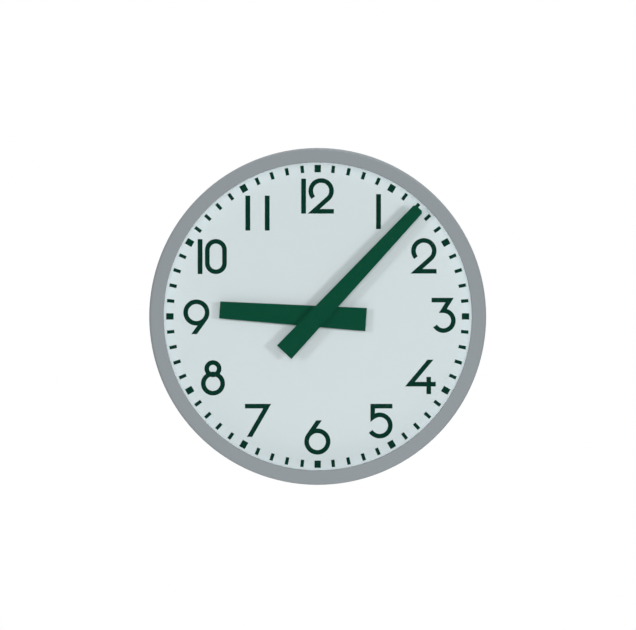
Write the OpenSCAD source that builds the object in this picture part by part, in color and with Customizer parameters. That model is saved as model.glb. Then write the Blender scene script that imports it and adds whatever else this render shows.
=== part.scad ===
// Slave clock: a round wall clock whose hands are stepped once a minute by impulses from a master clock.
// Each piece is drawn face on, with x to the right, y up and z forward from the wall.
// face_on() then stands it up, so that the wall is the plane y = 0 and the dial faces -y.

/* [Bezel and glass] */
// Radius of the opening that shows the dial
opening_r = 151; // [140:0.5:170]
// Width of the bezel ring seen from the front
ring_w = 14; // [13:0.5:20]
// Thickness of the bezel's front flange
flange_t = 2.5; // [2:0.1:4]
// Rounding of the bezel's outer edge
edge_round = 3; // [1.5:0.1:4]
// Rounding of the bezel's inner edge
lip_round = 0.8; // [0.3:0.1:1.2]
// Thickness of the bezel's side wall
skirt_t = 2.6; // [2:0.1:3.2]
// Length by which the bezel's side wall reaches back over the case
skirt_lap = 9; // [8.5:0.5:14]
// Width of glass hidden under the bezel
glass_lap = 6; // [4:0.5:7]
// Thickness of the glass
glass_t = 2.5; // [2:0.1:4]
// Thickness of the rubber gasket behind the glass
gasket_t = 1; // [0.8:0.1:2]
// Height of the spacer ring between the dial and the gasket
spacer_h = 12.5; // [12.2:0.1:18]
// Wall of the spacer ring
spacer_w = 2; // [1.5:0.1:2.5]
// Rubber width that the gasket has beyond the spacer ring
gasket_lip = 1; // [0.5:0.1:2]

/* [Back case] */
// Thickness of the spun sheet metal
sheet_t = 1.2; // [0.8:0.1:1.5]
// Outer corner radius between the back and the side of the case
case_round = 14; // [6:0.5:20]
// Radius of the rolled edge where the case turns in to carry the dial
roll_r = 2; // [1.6:0.1:2.4]
// Width by which the dial seat reaches in from the dial screws
seat_lip = 4.2; // [3.4:0.1:6]
// Radius of the hole in the rear plate that gives access to the setting knob
access_r = 12.5; // [11:0.5:16]
// Radius of a rubber bumper
bumper_r = 7; // [5:0.5:10]
// Distance of each bumper from the centre line
bumper_x = 80; // [75:1:84]
// Depth of the bumpers below the centre
bumper_drop = 100; // [96:1:100]
// Radius of the flat rear plate
rear_plate_r = 104; // [100:0.5:108]
// Width of the case's rear flange that the rear plate covers
rear_lap = 8; // [7:0.5:9]

/* [Wall bracket] */
// Width of the bracket plate
bracket_w = 150; // [144:1:180]
// Height of the bracket plate
bracket_h = 104; // [98:1:120]
// Thickness of the bracket plate
bracket_t = 2; // [1.5:0.1:3]
// Width of the window in the bracket
window_w = 92; // [90:1:100]
// Height of the window in the bracket
window_h = 40; // [36:1:44]
// Distance between the wall screws from side to side
screw_span_x = 120; // [116:1:130]
// Distance between the wall screws from top to bottom
screw_span_y = 76; // [70:1:84]
// Radius of the wall screw holes
wall_hole_r = 2.75; // [2:0.05:3.5]
// Distance of each hook from the centre line
hook_x = 30; // [20:1:40]
// Width of a hook
hook_w = 14; // [10:0.5:18]
// Height of a hook's root above the centre
hook_y = 28; // [27:0.5:31]
// Height of a hook's upright finger
finger_h = 9; // [6:0.5:12]

/* [Cable inlet and terminals] */
// Radius of the cable hole through the grommet
cable_r = 3.5; // [2.5:0.1:4]
// Rubber around the cable hole where the grommet passes the sheet
grommet_wall = 2.4; // [1.5:0.1:3]
// Width of the grommet's two flanges
grommet_lip = 2; // [1:0.1:2.5]
// Thickness of each flange of the grommet
grommet_t = 1.2; // [0.8:0.1:1.4]
// Distance of the cable inlet to the left of the centre
inlet_x = 33; // [30:0.5:34]
// Distance of the cable inlet below the centre
inlet_drop = 6; // [0:0.5:8]
// Distance of the terminal block to the left of the centre
block_x = 64; // [62:1:67]
// Distance of the terminal block below the centre
block_drop = 10; // [0:1:12]
// Width of the terminal block
block_w = 23; // [21:0.5:28]
// Length of the terminal block along the wires
block_l = 30; // [28:0.5:36]
// Height of the terminal block over its wire holes
block_top = 6.5; // [5.5:0.1:9]
// Distance between the two poles of the terminal block
pole_pitch = 11; // [10.6:0.1:12]
// Outer radius of a brass terminal sleeve
sleeve_r = 2.3; // [2.1:0.05:2.5]
// Radius of an insulated inner lead
lead_r = 0.9; // [0.6:0.05:1]
// Bending radius of the inner leads
lead_bend = 4; // [2.5:0.1:5]

/* [Dial and minute track] */
// Thickness of the dial plate
dial_t = 1.5; // [1:0.1:2.5]
// Radius of the hole for the hands in the dial
dial_hole_r = 4.8; // [4.4:0.1:6]
// Distance from the bezel opening to the outer ends of the marks
mark_gap = 1.9; // [1:0.1:6]
// Length of all sixty marks
mark_l = 7.2; // [4:0.1:12]
// Width of the marks at the hours
hour_mark_w = 6.2; // [4:0.1:8]
// Width of the marks at the other minutes
minute_mark_w = 3.3; // [1.5:0.1:4.5]
// Thickness of the printed marks
mark_t = 0.15; // [0.1:0.05:0.3]

/* [Hands] */
// Angle of the minute hand, clockwise from twelve
minute_angle = 43.1; // [0:0.1:360]
// Angle of the hour hand, clockwise from twelve
hour_angle = 273.8; // [0:0.1:360]
// Distance from the outer ends of the marks to the tip of the minute hand
minute_tip_gap = 3.6; // [1:0.1:20]
// Length of the minute hand's tail
minute_tail = 48.2; // [30:0.1:60]
// Width of the minute hand at its tail
minute_tail_w = 19.4; // [16:0.1:24]
// Width of the minute hand at its tip
minute_tip_w = 11.4; // [6:0.1:16]
// Corner cut at the tip of the minute hand
minute_corner = 2; // [0.5:0.1:3]
// Length of the hour hand from the centre to its tip
hour_length = 96.5; // [70:0.5:110]
// Length of the hour hand's tail
hour_tail = 47.6; // [30:0.1:60]
// Width of the hour hand at its tail
hour_tail_w = 22.8; // [19:0.1:28]
// Width of the hour hand at its tip
hour_tip_w = 16.7; // [10:0.1:20]
// Thickness of both hands
hand_t = 1; // [0.8:0.1:1.5]
// Height of the hour hand's blade above the dial
hour_rise = 4.5; // [4:0.1:5]
// Height of the minute hand's blade above the hour hand's blade
minute_rise = 3; // [2.8:0.1:3.4]
// Radius of the hour hand's boss
hour_boss_r = 8; // [6:0.1:9]
// Radius of the minute hand's boss
minute_boss_r = 6.5; // [4:0.1:7.5]
// Height of the hour hand's boss
hour_boss_h = 2.4; // [1.6:0.1:2.8]

/* [Movement frame] */
// Thickness of the movement plates
plate_t = 1.5; // [1:0.1:2]
// Distance between the movement plates
plate_gap = 16; // [15.4:0.1:20]
// Half width of the back plate
plate_x = 31.5; // [31:0.5:33]
// Height of the plates' top edge above the centre
plate_top = 29; // [28.5:0.5:34]
// Corner radius of the plates
plate_corner = 4; // [2:0.5:6]
// Radius of the pillars between the plates
pillar_r = 2.75; // [2.5:0.05:3]
// Distance of each pillar from the centre line
pillar_x = 27.2; // [27:0.1:27.5]
// Length of the posts that carry the movement on the dial
post_l = 8; // [7.8:0.1:12]
// Radius of the posts that carry the movement on the dial
post_r = 3; // [2.5:0.1:3.5]
// Distance of each post from the centre line
post_x = 35.5; // [35.2:0.1:38]
// Length of the setting knob
knob_l = 10; // [8:0.5:14]
// Radius of the setting knob
knob_r = 9; // [6:0.5:10]
// Free height between the setting knob and the back of the case
knob_gap = 3.5; // [3:0.1:6]

/* [Train] */
// Module of the wheels that turn the centre arbor
train_module = 0.6; // [0.56:0.01:0.62]
// Angle by which the intermediate arbor stands off the vertical
train_lean = 25; // [22:0.5:27]
// Radius of the centre arbor
arbor_r = 1.5; // [1.2:0.05:1.55]
// Radius of the small pivots
pivot_r = 0.8; // [0.6:0.05:0.9]
// Thickness of the train wheels
wheel_t = 1.5; // [1:0.1:1.8]
// Running clearance of every arbor in its bush
run_fit = 0.05; // [0.02:0.01:0.08]

/* [Motion work] */
// Module of the wheels under the dial
motion_module = 0.8; // [0.78:0.01:0.82]
// Thickness of the wheels under the dial
motion_t = 1.2; // [1:0.1:1.3]
// Outer radius of the cannon pinion's pipe
cannon_pipe_r = 2.6; // [2.3:0.05:2.7]
// Wall of the hour wheel's pipe
hour_pipe_wall = 1.15; // [0.8:0.05:1.3]

/* [Magnet and coil] */
// Radius of the rotor magnet
rotor_r = 6; // [5:0.1:6.5]
// Length of the rotor magnet
rotor_l = 6; // [5:0.1:7]
// Air gap between the rotor magnet and the pole pieces
air_gap = 0.6; // [0.4:0.05:0.8]
// Thickness of the pole pieces and the coil core
pole_t = 6; // [5:0.1:7]
// Width of the pole shoes around the rotor
shoe_w = 4.4; // [3:0.1:4.6]
// Distance of each leg's inner side from the centre line
leg_x = 15; // [14.8:0.1:15.2]
// Width of each leg
leg_w = 7.5; // [6.5:0.1:8]
// Distance from the rotor down to the coil's axis
coil_drop = 26; // [25:0.5:32]
// Height of the coil core
core_h = 6; // [5:0.1:7]
// Radius of the winding
winding_r = 9.8; // [8:0.1:10.4]
// Half side of the bobbin's square flanges
bobbin_half = 11; // [10.6:0.1:11.5]
// Thickness of the bobbin's flanges
bobbin_flange = 1.5; // [1:0.1:2]
// Wall of the bobbin's sleeve
bobbin_wall = 0.8; // [0.6:0.05:1.2]

/* [Screws] */
// Thread radius of the small screws
screw_r = 1.5; // [1.3:0.05:1.5]
// Head radius of the small screws
head_r = 2.6; // [2.3:0.05:2.7]
// Head height of the small screws
head_h = 1.6; // [1.2:0.05:1.8]
// Outer radius of the clinch nuts
nut_r = 2.9; // [2.6:0.05:3]
// Height of the clinch nuts
nut_h = 3; // [2:0.1:3.2]

/* [Hidden] */
$fn = 96;

// Clearances
hang_gap = 0.3;
side_gap = 0.4;
fit_gap = 0.02;
hole_gap = 0.2;
shake = 0.25;
seat_gap = 0.15;
eps = 0.01;

// Left and right
sides = [-1, 1];

// Numbers of teeth: 6 x 5 turns of the rotor make one of the centre arbor,
// and 3 x 4 turns of the centre arbor make one of the hour wheel
rotor_leaves = 8;
intermediate_leaves = 10;
intermediate_teeth = 6 * rotor_leaves;
centre_teeth = 5 * intermediate_leaves;
cannon_leaves = 10;
minute_leaves = 8;
minute_teeth = 3 * cannon_leaves;
hour_teeth = 4 * minute_leaves;

// How far the threads reach into what they hold
thread_l = 4.5;
pole_thread_l = 3.5;
core_thread_l = 5;
countersink = 1.4;

// Depths, counted forward from the wall
back_z = bracket_t + hang_gap;
floor_z = back_z + sheet_t;
case_floor_z = floor_z + sheet_t;
knob_z = floor_z + knob_gap;
knob_front_gap = 1;
knob_floor = 2;
plate_back_z = knob_z + knob_l + knob_front_gap;
inner_back_z = plate_back_z + plate_t;
inner_front_z = inner_back_z + plate_gap;
plate_front_z = inner_front_z + plate_t;
dial_z = plate_front_z + post_l;
face_z = dial_z + dial_t;
gasket_z = face_z + spacer_h;
glass_z = gasket_z + gasket_t;
flange_z = glass_z + glass_t;
front_z = flange_z + flange_t;
skirt_z = dial_z - skirt_lap;
bezel_screw_z = dial_z - sheet_t - nut_r - hang_gap;

// Radii of the round shells
bezel_r = opening_r + ring_w;
skirt_in = bezel_r - skirt_t;
case_r = skirt_in - side_gap;
case_in = case_r - sheet_t;
glass_r = opening_r + glass_lap;
spacer_in = opening_r + side_gap;
spacer_out = spacer_in + spacer_w;
dial_screw_r = spacer_out + head_r + hole_gap;
seat_in = dial_screw_r - seat_lip;
flange_in = rear_plate_r - rear_lap;
rivet_ring_r = rear_plate_r - rear_lap / 2;
rivet_r = 1.6;
dial_r = case_r - roll_r;
mark_out = opening_r - mark_gap;
mark_in = mark_out - mark_l;

// Heights of the hands
hour_z = face_z + hour_rise;
minute_z = hour_z + minute_rise + hand_t;
minute_length = mark_out - minute_tip_gap;
minute_boss_h = 2.1;
cannon_pipe_top = minute_z - minute_boss_h - 0.1;
hour_pipe_in = cannon_pipe_r + run_fit;
hour_pipe_r = hour_pipe_in + hour_pipe_wall;

// Places of the arbors, seen from the front
wheel_reach = train_module * (centre_teeth + intermediate_leaves) / 2;
pinion_reach = train_module * (intermediate_teeth + rotor_leaves) / 2;
intermediate_x = -wheel_reach * sin(train_lean);
intermediate_y = -wheel_reach * cos(train_lean);
rotor_y = intermediate_y - sqrt(pow(pinion_reach, 2) - pow(intermediate_x, 2));
stud_y = motion_module * (cannon_leaves + minute_teeth) / 2;

// Levels of the train between the plates
leaf_gap = 0.8;
leaf_l = 5;
leaf_back_z = inner_back_z + leaf_gap;
centre_wheel_inset = 0.9;
centre_wheel_z = leaf_back_z + centre_wheel_inset;
rotor_gap = 0.7;
rotor_z = inner_back_z + rotor_gap;
rotor_leaf_gap = 2.2;
rotor_leaf_l = 5;
rotor_leaf_z = inner_front_z - rotor_leaf_gap - rotor_leaf_l;
intermediate_wheel_inset = 1.7;
intermediate_wheel_z = rotor_leaf_z + intermediate_wheel_inset;
barrel_wall = 0.7;
barrel_r = arbor_r + barrel_wall;
spindle_wall = 0.4;
spindle_r = pivot_r + spindle_wall;
pivot_end = 0.3;
hub_wall = 2.2;
rim_w = 2.4;
cross_w = 2.2;

// Levels of the motion work in front of the plates
bush_lip = 0.5;
cannon_gap = 0.3;
cannon_z = plate_front_z + bush_lip + cannon_gap;
cannon_leaf_l = 2.6;
wheel_gap = 0.6;
minute_wheel_z = cannon_z + wheel_gap;
minute_leaf_z = minute_wheel_z + motion_t;
minute_leaf_l = 3.6;
hour_wheel_z = cannon_z + cannon_leaf_l + wheel_gap;
stud_r = 1.5;
stud_shoulder = 0.3;
hub_r = stud_r + 0.6;
clip_z = minute_leaf_z + minute_leaf_l + hole_gap;
clip_t = 0.6;
motion_rim_w = 2.6;
motion_cross_w = 2.4;

// Coil and its leads
coil_y = rotor_y - coil_drop;
coil_z = inner_back_z + pole_t / 2;
leg_out = leg_x + leg_w;
lead_z = coil_z - bobbin_half + lead_r + hang_gap;
lead_x = leg_x - hang_gap - bobbin_flange / 2;
lead_drop = 5.5;
block_low = -block_drop - block_l / 2;
lead_step = 4;
lead_reach = 9;
sleeve_inset = 3;
sleeve_l = block_l - 2 * sleeve_inset;
clamp_y = 7;

// Plates
plate_foot = 8.7;
plate_low = rotor_y - plate_foot;
pillar_inset = 4.5;
pillar_drop = 3.5;
pillar_rows = [plate_top - pillar_inset, rotor_y - pillar_drop];
pillar_spots = [for (x = sides, y = pillar_rows) [x * pillar_x, y]];
post_rise = 6;
post_drop = 20;
post_rows = [post_rise, -post_drop];
post_spots = [for (x = sides, y = post_rows) [x * post_x, y]];
lug_edge = 0.8;
lug_half = post_r + lug_edge;
lug_x = post_x + lug_half;

// Pole pieces
pole_screw_drop = 4;
pole_screw_rise = 3.5;
arm_half = 6;
shoe_split = 1;
notch_r = 0.7;
notch_angle = 35;

// Screw rows
dial_screw_angles = [45, 135, 225, 315];
bezel_screw_angles = [30, 150, 270];
rivet_angles = [0 : 60 : 300];

// Angle of a tooth on a second wheel so that it meshes with a first wheel whose tooth stands at angle first.
// The second wheel's centre lies in direction way from the first one's.
function mesh_angle(way, first, teeth_1, teeth_2) =
    way + 180 + (0.5 - (first - way) * teeth_1 / 360) * 360 / teeth_2;

// Where the arbors stand to each other
to_intermediate = atan2(intermediate_y, intermediate_x);
to_rotor = atan2(rotor_y - intermediate_y, -intermediate_x);
centre_phase = 0;
intermediate_phase = mesh_angle(to_intermediate, centre_phase, centre_teeth, intermediate_leaves);
rotor_phase = mesh_angle(to_rotor, intermediate_phase, intermediate_teeth, rotor_leaves);
cannon_phase = 0;
minute_phase = mesh_angle(90, cannon_phase, cannon_leaves, minute_teeth);
hour_phase = mesh_angle(-90, minute_phase, minute_leaves, hour_teeth);

// Stands a piece drawn face on upright in front of the wall.
module face_on() {
    rotate([90, 0, 0]) children();
}

// Lifts a flat outline to a height z in front of the wall, t thick.
module slab(z, t) {
    translate([0, 0, z]) linear_extrude(t) children();
}

// Round bar from z to z + l.
module bar(r, z, l) {
    translate([0, 0, z]) cylinder(r = r, h = l);
}

// Round tube from z to z + l.
module tube(r_out, r_in, z, l) {
    difference() {
        bar(r_out, z, l);
        bar(r_in, z - eps, l + 2 * eps);
    }
}

// Rectangle with rounded corners between two opposite corner points.
module rounded_rect(x0, y0, x1, y1, r) {
    translate([x0 + r, y0]) square([x1 - x0 - 2 * r, y1 - y0]);
    translate([x0, y0 + r]) square([x1 - x0, y1 - y0 - 2 * r]);
    for (x = [x0 + r, x1 - r], y = [y0 + r, y1 - r]) translate([x, y]) circle(r);
}

// Quarter of a round sheet bend in a profile, turned by 90 degree steps.
module bend(x, y, r, t, turn) {
    translate([x, y]) rotate(turn) difference() {
        intersection() {
            circle(r);
            square(r);
        }
        circle(r - t);
    }
}

// Repeats a piece at each angle, turned about the clock's axis.
module around(angles) {
    for (a = angles) rotate(a) children();
}

// Repeats a piece at each point of a list.
module at_each(spots) {
    for (p = spots) translate(p) children();
}

// Screw along +z with its head at z = 0 and its thread of length l below.
module pan_screw(l, r = screw_r) {
    bar(head_r * r / screw_r, 0, head_h * r / screw_r);
    bar(r, -l, l + eps);
}

// Clock tooth: the flank is radial inside the pitch circle, and outside it an epicycloid of rolling radius roll.
function flank_turn(pitch_r, roll, reach) =
    roll / pitch_r * acos((pow(pitch_r + roll, 2) + roll * roll - reach * reach) / (2 * roll * (pitch_r + roll)));

function flank_point(pitch_r, roll, t) =
    let (s = (pitch_r + roll) / roll * t)
    [(pitch_r + roll) * cos(t) - roll * cos(s), (pitch_r + roll) * sin(t) - roll * sin(s)];

function polar(r, a) = [r * cos(a), r * sin(a)];

// Half of one tooth as [radius, angle from the tooth's middle], from the root to the tip.
function half_tooth(teeth, m, roll, add, ded, fill) =
    let (pitch_r = m * teeth / 2, half = 90 / teeth * fill, last = flank_turn(pitch_r, roll, pitch_r + add))
    concat(
        [[pitch_r - ded, half], [pitch_r, half]],
        [for (k = [1, 2]) let (p = flank_point(pitch_r, roll, last * k / 2)) [norm(p), half - atan2(p[1], p[0])]]
    );

module tooth_outline(teeth, m, roll, add, ded, fill) {
    side = half_tooth(teeth, m, roll, add, ded, fill);
    polygon([for (i = [0 : teeth - 1]) let (a = i * 360 / teeth)
        each concat([for (s = side) polar(s[0], a - s[1])],
                    [for (k = [3 : -1 : 0]) polar(side[k][0], a + side[k][1])])]);
}

// Outline of a wheel's teeth, which mates with a pinion of the given leaves.
// Its teeth rise 0.85 modules over the pitch circle, sink 1.05 under it and fill 0.92 of half the pitch.
module wheel_teeth(teeth, m, leaves) {
    tooth_outline(teeth, m, m * leaves / 4, m * 0.85, m * 1.05, 0.92);
}

// Outline of a pinion's leaves, which mates with a wheel of the given teeth. The leaves are lower and narrower.
module pinion_leaves(leaves, m, teeth) {
    tooth_outline(leaves, m, m * teeth / 4, m * 0.6, m * 1.2, 0.78);
}

// Windows of a crossed-out wheel: what lies between hub and rim, less its four arms.
module crossings(hub, rim, arm) {
    difference() {
        circle(rim);
        circle(hub);
        for (a = [0, 90]) rotate(a) square([2 * rim + 2, arm], center = true);
    }
}

// Tapered blade of a hand, pointing to +y, with its tip corners cut by corner.
module blade(tail, tail_w, length, tip_w, corner) {
    polygon([[-tail_w / 2, -tail], [tail_w / 2, -tail],
             [tip_w / 2, length - corner], [tip_w / 2 - corner, length],
             [corner - tip_w / 2, length], [-tip_w / 2, length - corner]]);
}

// Steel plate screwed to the wall, with two hooks bent out of it that carry the case.
module wall_bracket() {
    slot_clear = 1;
    plate_round = 8;
    window_round = 6;
    color("gainsboro") face_on() {
        difference() {
            slab(0, bracket_t) difference() {
                rounded_rect(-bracket_w / 2, -bracket_h / 2, bracket_w / 2, bracket_h / 2, plate_round);
                rounded_rect(-window_w / 2, -window_h / 2, window_w / 2, window_h / 2, window_round);
                for (s = sides) {
                    translate([s * hook_x - hook_w / 2 - slot_clear, hook_y + bracket_t])
                        square([hook_w + 2 * slot_clear, finger_h + 2]);
                }
            }
            for (x = sides, y = sides) {
                translate([x * screw_span_x / 2, y * screw_span_y / 2]) bar(wall_hole_r, -1, bracket_t + 2);
            }
        }
        for (s = sides) translate([s * hook_x - hook_w / 2, hook_y]) {
            translate([0, 0, bracket_t - eps]) cube([hook_w, bracket_t, floor_z + hang_gap - bracket_t + eps]);
            translate([0, 0, floor_z + hang_gap]) cube([hook_w, finger_h, bracket_t]);
        }
    }
}

// Flat rear plate of the case, which hangs on the hooks and carries the cable inlet and the terminals.
module rear_plate() {
    color("lightgray") face_on() difference() {
        bar(rear_plate_r, back_z, sheet_t);
        bar(access_r, back_z - 1, sheet_t + 2);
        translate([-inlet_x, -inlet_drop]) bar(cable_r + grommet_wall, back_z - 1, sheet_t + 2);
        for (s = sides) translate([s * hook_x - hook_w / 2 - hang_gap, hook_y - finger_h, back_z - 1])
            cube([hook_w + 2 * hang_gap, finger_h + bracket_t, sheet_t + 2]);
        translate([-block_x, -block_drop]) bar(screw_r + fit_gap, back_z - 1, sheet_t + 2);
        around(rivet_angles) translate([rivet_ring_r, 0]) bar(rivet_r + fit_gap, back_z - 1, sheet_t + 2);
    }
}

// Rivets that join the rear plate to the flange of the case.
module rear_rivets() {
    rivet_head_r = 2.8;
    rivet_head_h = 0.9;
    clinch_r = 2.3;
    clinch_h = 0.7;
    color("silver") face_on() around(rivet_angles) translate([rivet_ring_r, 0]) {
        bar(rivet_head_r, back_z - rivet_head_h, rivet_head_h);
        bar(rivet_r, back_z - eps, 2 * sheet_t + 2 * eps);
        bar(clinch_r, case_floor_z, clinch_h);
    }
}

// Spun case: rear flange, rounded corner, side wall and the turned-in seat for the dial.
module back_case() {
    color("lightgray") face_on() difference() {
        rotate_extrude() {
            translate([flange_in, floor_z]) square([case_r - case_round - flange_in, sheet_t]);
            bend(case_r - case_round, floor_z + case_round, case_round, sheet_t, -90);
            translate([case_in, floor_z + case_round]) square([sheet_t, dial_z - roll_r - floor_z - case_round]);
            bend(case_r - roll_r, dial_z - roll_r, roll_r, sheet_t, 0);
            translate([seat_in, dial_z - sheet_t]) square([case_r - roll_r - seat_in, sheet_t]);
        }
        for (s = sides) translate([s * bumper_x, -bumper_drop]) bar(bumper_r / 3, floor_z - 1, sheet_t + 2);
        around(rivet_angles) translate([rivet_ring_r, 0]) bar(rivet_r + fit_gap, floor_z - 1, sheet_t + 2);
        around(dial_screw_angles) translate([dial_screw_r, 0]) bar(screw_r + hole_gap, dial_z - 3, 4);
        around(bezel_screw_angles) translate([case_r - 4, 0, bezel_screw_z]) rotate([0, 90, 0])
            cylinder(r = screw_r + hole_gap, h = 8);
    }
}

// Two rubber bumpers that hold the lower edge of the case off the wall, each with a snap-in stem.
module wall_bumpers() {
    stem_r = bumper_r / 3 - fit_gap;
    barb_w = 0.6;
    barb_l = 1.4;
    color("dimgray") face_on() for (s = sides) translate([s * bumper_x, -bumper_drop]) {
        bar(bumper_r, 0, floor_z);
        bar(stem_r, floor_z - eps, sheet_t + 2 * eps);
        bar(stem_r + barb_w, case_floor_z, barb_l);
    }
}

// Rubber grommet in the rear plate where the impulse cable comes in.
module cable_grommet() {
    neck_r = cable_r + grommet_wall;
    color("dimgray") face_on() translate([-inlet_x, -inlet_drop]) difference() {
        union() {
            bar(neck_r + grommet_lip, back_z - grommet_t, grommet_t);
            bar(neck_r - fit_gap, back_z - eps, sheet_t + 2 * eps);
            bar(neck_r + grommet_lip, floor_z, grommet_t);
        }
        bar(cable_r, 0, floor_z + 4);
    }
}

// Painted metal dial plate.
module dial() {
    color("lightcyan") face_on() difference() {
        tube(dial_r, dial_hole_r, dial_z, dial_t);
        around(dial_screw_angles) translate([dial_screw_r, 0]) bar(screw_r + hole_gap, dial_z - 1, dial_t + 2);
    }
}

// Sixty printed marks, the twelve at the hours wider.
module minute_track() {
    color("darkgreen") face_on() slab(face_z, mark_t) for (i = [0 : 59]) rotate(6 * i) {
        w = i % 5 == 0 ? hour_mark_w : minute_mark_w;
        translate([-w / 2, mark_in]) square([w, mark_l]);
    }
}

// Screws that hold the dial on its seat, hidden under the bezel.
module dial_screws() {
    color("silver") face_on() around(dial_screw_angles) translate([dial_screw_r, 0, face_z])
        pan_screw(dial_t + sheet_t + nut_h);
}

// Clinch nuts under the dial seat.
module dial_nuts() {
    color("darkgray") face_on() around(dial_screw_angles) translate([dial_screw_r, 0])
        tube(nut_r, screw_r + fit_gap, dial_z - sheet_t - nut_h, nut_h);
}

// Pale ring that holds the glass off the dial.
module spacer_ring() {
    color("whitesmoke") face_on() tube(spacer_out, spacer_in, face_z, spacer_h);
}

// Flat rubber ring between the spacer ring and the glass.
module glass_gasket() {
    color("dimgray") face_on() tube(spacer_out + gasket_lip, spacer_in, gasket_z, gasket_t);
}

// Flat clear glass.
module glass() {
    color([0.85, 0.93, 0.95, 0.35]) face_on() bar(glass_r, glass_z, glass_t);
}

// Turned bezel: front flange with a rounded outer edge, glass recess and side wall.
module bezel() {
    head_top = 2 * screw_r;
    color("slategray") face_on() difference() {
        rotate_extrude() {
            difference() {
                translate([opening_r, glass_z]) square([ring_w, front_z - glass_z]);
                translate([opening_r - 1, glass_z - 1]) square([glass_lap + side_gap + 1, glass_t + 1]);
                translate([bezel_r - edge_round, front_z - edge_round]) difference() {
                    square(edge_round + 1);
                    circle(edge_round);
                }
                translate([opening_r + lip_round, front_z - lip_round]) difference() {
                    translate([-lip_round - 1, 0]) square(lip_round + 1);
                    circle(lip_round);
                }
            }
            translate([skirt_in, skirt_z]) square([skirt_t, glass_z - skirt_z + eps]);
        }
        around(bezel_screw_angles) translate([bezel_r, 0, bezel_screw_z]) rotate([0, -90, 0]) {
            translate([0, 0, -1]) cylinder(r = screw_r + hole_gap, h = skirt_t + 2);
            cylinder(r1 = head_top + hole_gap, r2 = screw_r + hole_gap, h = countersink);
            translate([0, 0, -1]) cylinder(r = head_top + hole_gap, h = 1 + eps);
        }
    }
}

// Countersunk screws that hold the bezel on the case from the side.
module bezel_screws() {
    head_top = 2 * screw_r - seat_gap;
    head_depth = 0.1;
    color("silver") face_on() around(bezel_screw_angles) translate([bezel_r - head_depth, 0, bezel_screw_z])
        rotate([0, -90, 0]) {
            cylinder(r1 = head_top, r2 = screw_r, h = countersink);
            cylinder(r = screw_r, h = skirt_t + side_gap + sheet_t + nut_h);
        }
}

// Clinch nuts inside the side wall that take the bezel screws.
module bezel_nuts() {
    color("darkgray") face_on() around(bezel_screw_angles)
        translate([case_in - seat_gap - nut_h, 0, bezel_screw_z]) rotate([0, 90, 0])
            tube(nut_r, screw_r + fit_gap, 0, nut_h);
}

// Four posts on the back of the dial that carry the movement.
module dial_posts() {
    color("goldenrod") face_on() at_each(post_spots) difference() {
        bar(post_r, plate_front_z, post_l);
        bar(screw_r + fit_gap, plate_front_z - eps, thread_l + 0.5);
    }
}

// Screws through the front plate into the dial posts.
module post_screws() {
    color("silver") face_on() at_each(post_spots) translate([0, 0, inner_front_z]) mirror([0, 0, 1])
        pan_screw(plate_t + thread_l);
}

// Front movement plate, with side lugs for the dial posts.
module front_plate() {
    color("silver") face_on() difference() {
        slab(inner_front_z, plate_t) {
            rounded_rect(-plate_x, plate_low, plate_x, plate_top, plate_corner);
            for (y = post_rows) translate([0, y])
                rounded_rect(-lug_x, -lug_half, lug_x, lug_half, lug_half - 0.1);
        }
        arbor_holes(inner_front_z);
        at_each(concat(pillar_spots, post_spots)) bar(screw_r + hole_gap, inner_front_z - 1, plate_t + 2);
        translate([0, stud_y]) bar(stud_r + fit_gap, inner_front_z - 1, plate_t + 2);
    }
}

// Back movement plate, which also carries the pole pieces.
module back_plate() {
    color("silver") face_on() difference() {
        slab(plate_back_z, plate_t) rounded_rect(-plate_x, plate_low, plate_x, plate_top, plate_corner);
        arbor_holes(plate_back_z);
        at_each(concat(pillar_spots, pole_spots())) bar(screw_r + hole_gap, plate_back_z - 1, plate_t + 2);
    }
}

// Holes for the bushes of the three arbors.
module arbor_holes(z) {
    bar(bush_out(arbor_r) + fit_gap, z - 1, plate_t + 2);
    for (p = small_arbor_spots()) translate(p) bar(bush_out(pivot_r) + fit_gap, z - 1, plate_t + 2);
}

bush_wall = 1.4;
function bush_out(r) = r + bush_wall;
function small_arbor_spots() = [[intermediate_x, intermediate_y], [0, rotor_y]];
function pole_spots() = [for (x = sides, y = [-pole_screw_drop, pole_screw_rise])
    [x * (leg_x + leg_w / 2), rotor_y + y]];

// Pillars that hold the two plates apart.
module plate_pillars() {
    bore_l = thread_l + 0.5;
    color("goldenrod") face_on() at_each(pillar_spots) difference() {
        bar(pillar_r, inner_back_z, plate_gap);
        bar(screw_r + fit_gap, inner_back_z - eps, bore_l);
        bar(screw_r + fit_gap, inner_front_z - bore_l, bore_l + eps);
    }
}

// Screws through both plates into the pillars.
module pillar_screws() {
    color("silver") face_on() at_each(pillar_spots) {
        translate([0, 0, plate_front_z]) pan_screw(plate_t + thread_l);
        translate([0, 0, plate_back_z]) mirror([0, 0, 1]) pan_screw(plate_t + thread_l);
    }
}

// Bronze bushes pressed into the plates, three in each.
module arbor_bushes() {
    color("peru") face_on() for (z = [plate_back_z - bush_lip, inner_front_z]) {
        tube(bush_out(arbor_r), arbor_r + run_fit, z, plate_t + bush_lip);
        for (p = small_arbor_spots()) translate(p)
            tube(bush_out(pivot_r), pivot_r + run_fit, z, plate_t + bush_lip);
    }
}

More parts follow.
